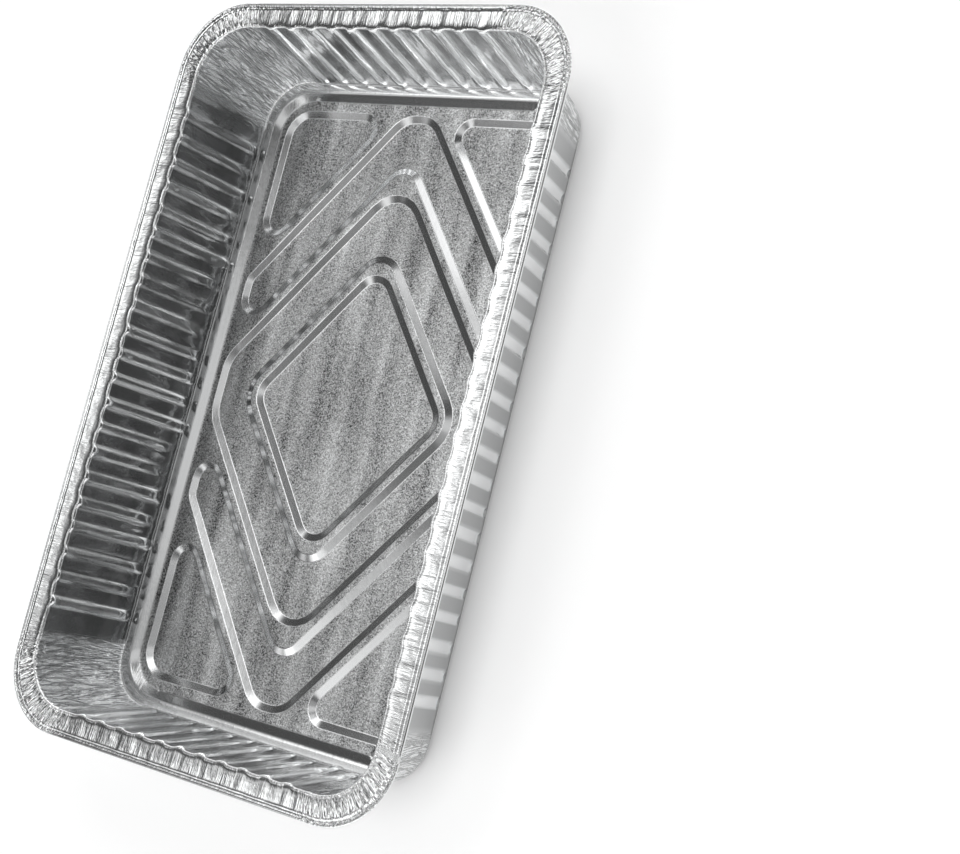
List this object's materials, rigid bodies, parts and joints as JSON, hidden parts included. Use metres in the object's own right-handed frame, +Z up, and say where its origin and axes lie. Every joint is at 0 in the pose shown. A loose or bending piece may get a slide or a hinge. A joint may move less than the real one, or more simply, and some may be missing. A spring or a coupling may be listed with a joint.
{
  "type": "foil drip tray",
  "caption": "Rectangular pressed aluminium foil drip tray with a rolled rim, a flat flange, fluted sloping walls and a floor embossed with diamond ribs, to catch or carry food.",
  "frame": {"origin": "on the ground under the middle of the tray, at the level of the floor panels' underside", "axes": "+Z up, out of the open side; +Y along the long side; +X along the short side"},
  "size_m": [0.325, 0.527, 0.08],
  "materials": {
    "foil": "thin embossed aluminium foil, bright on the slopes and flutes, fine matt grain on the floor"
  },
  "bodies": {
    "root": {"foil_tray": "foil"}
  },
  "joints": []
}
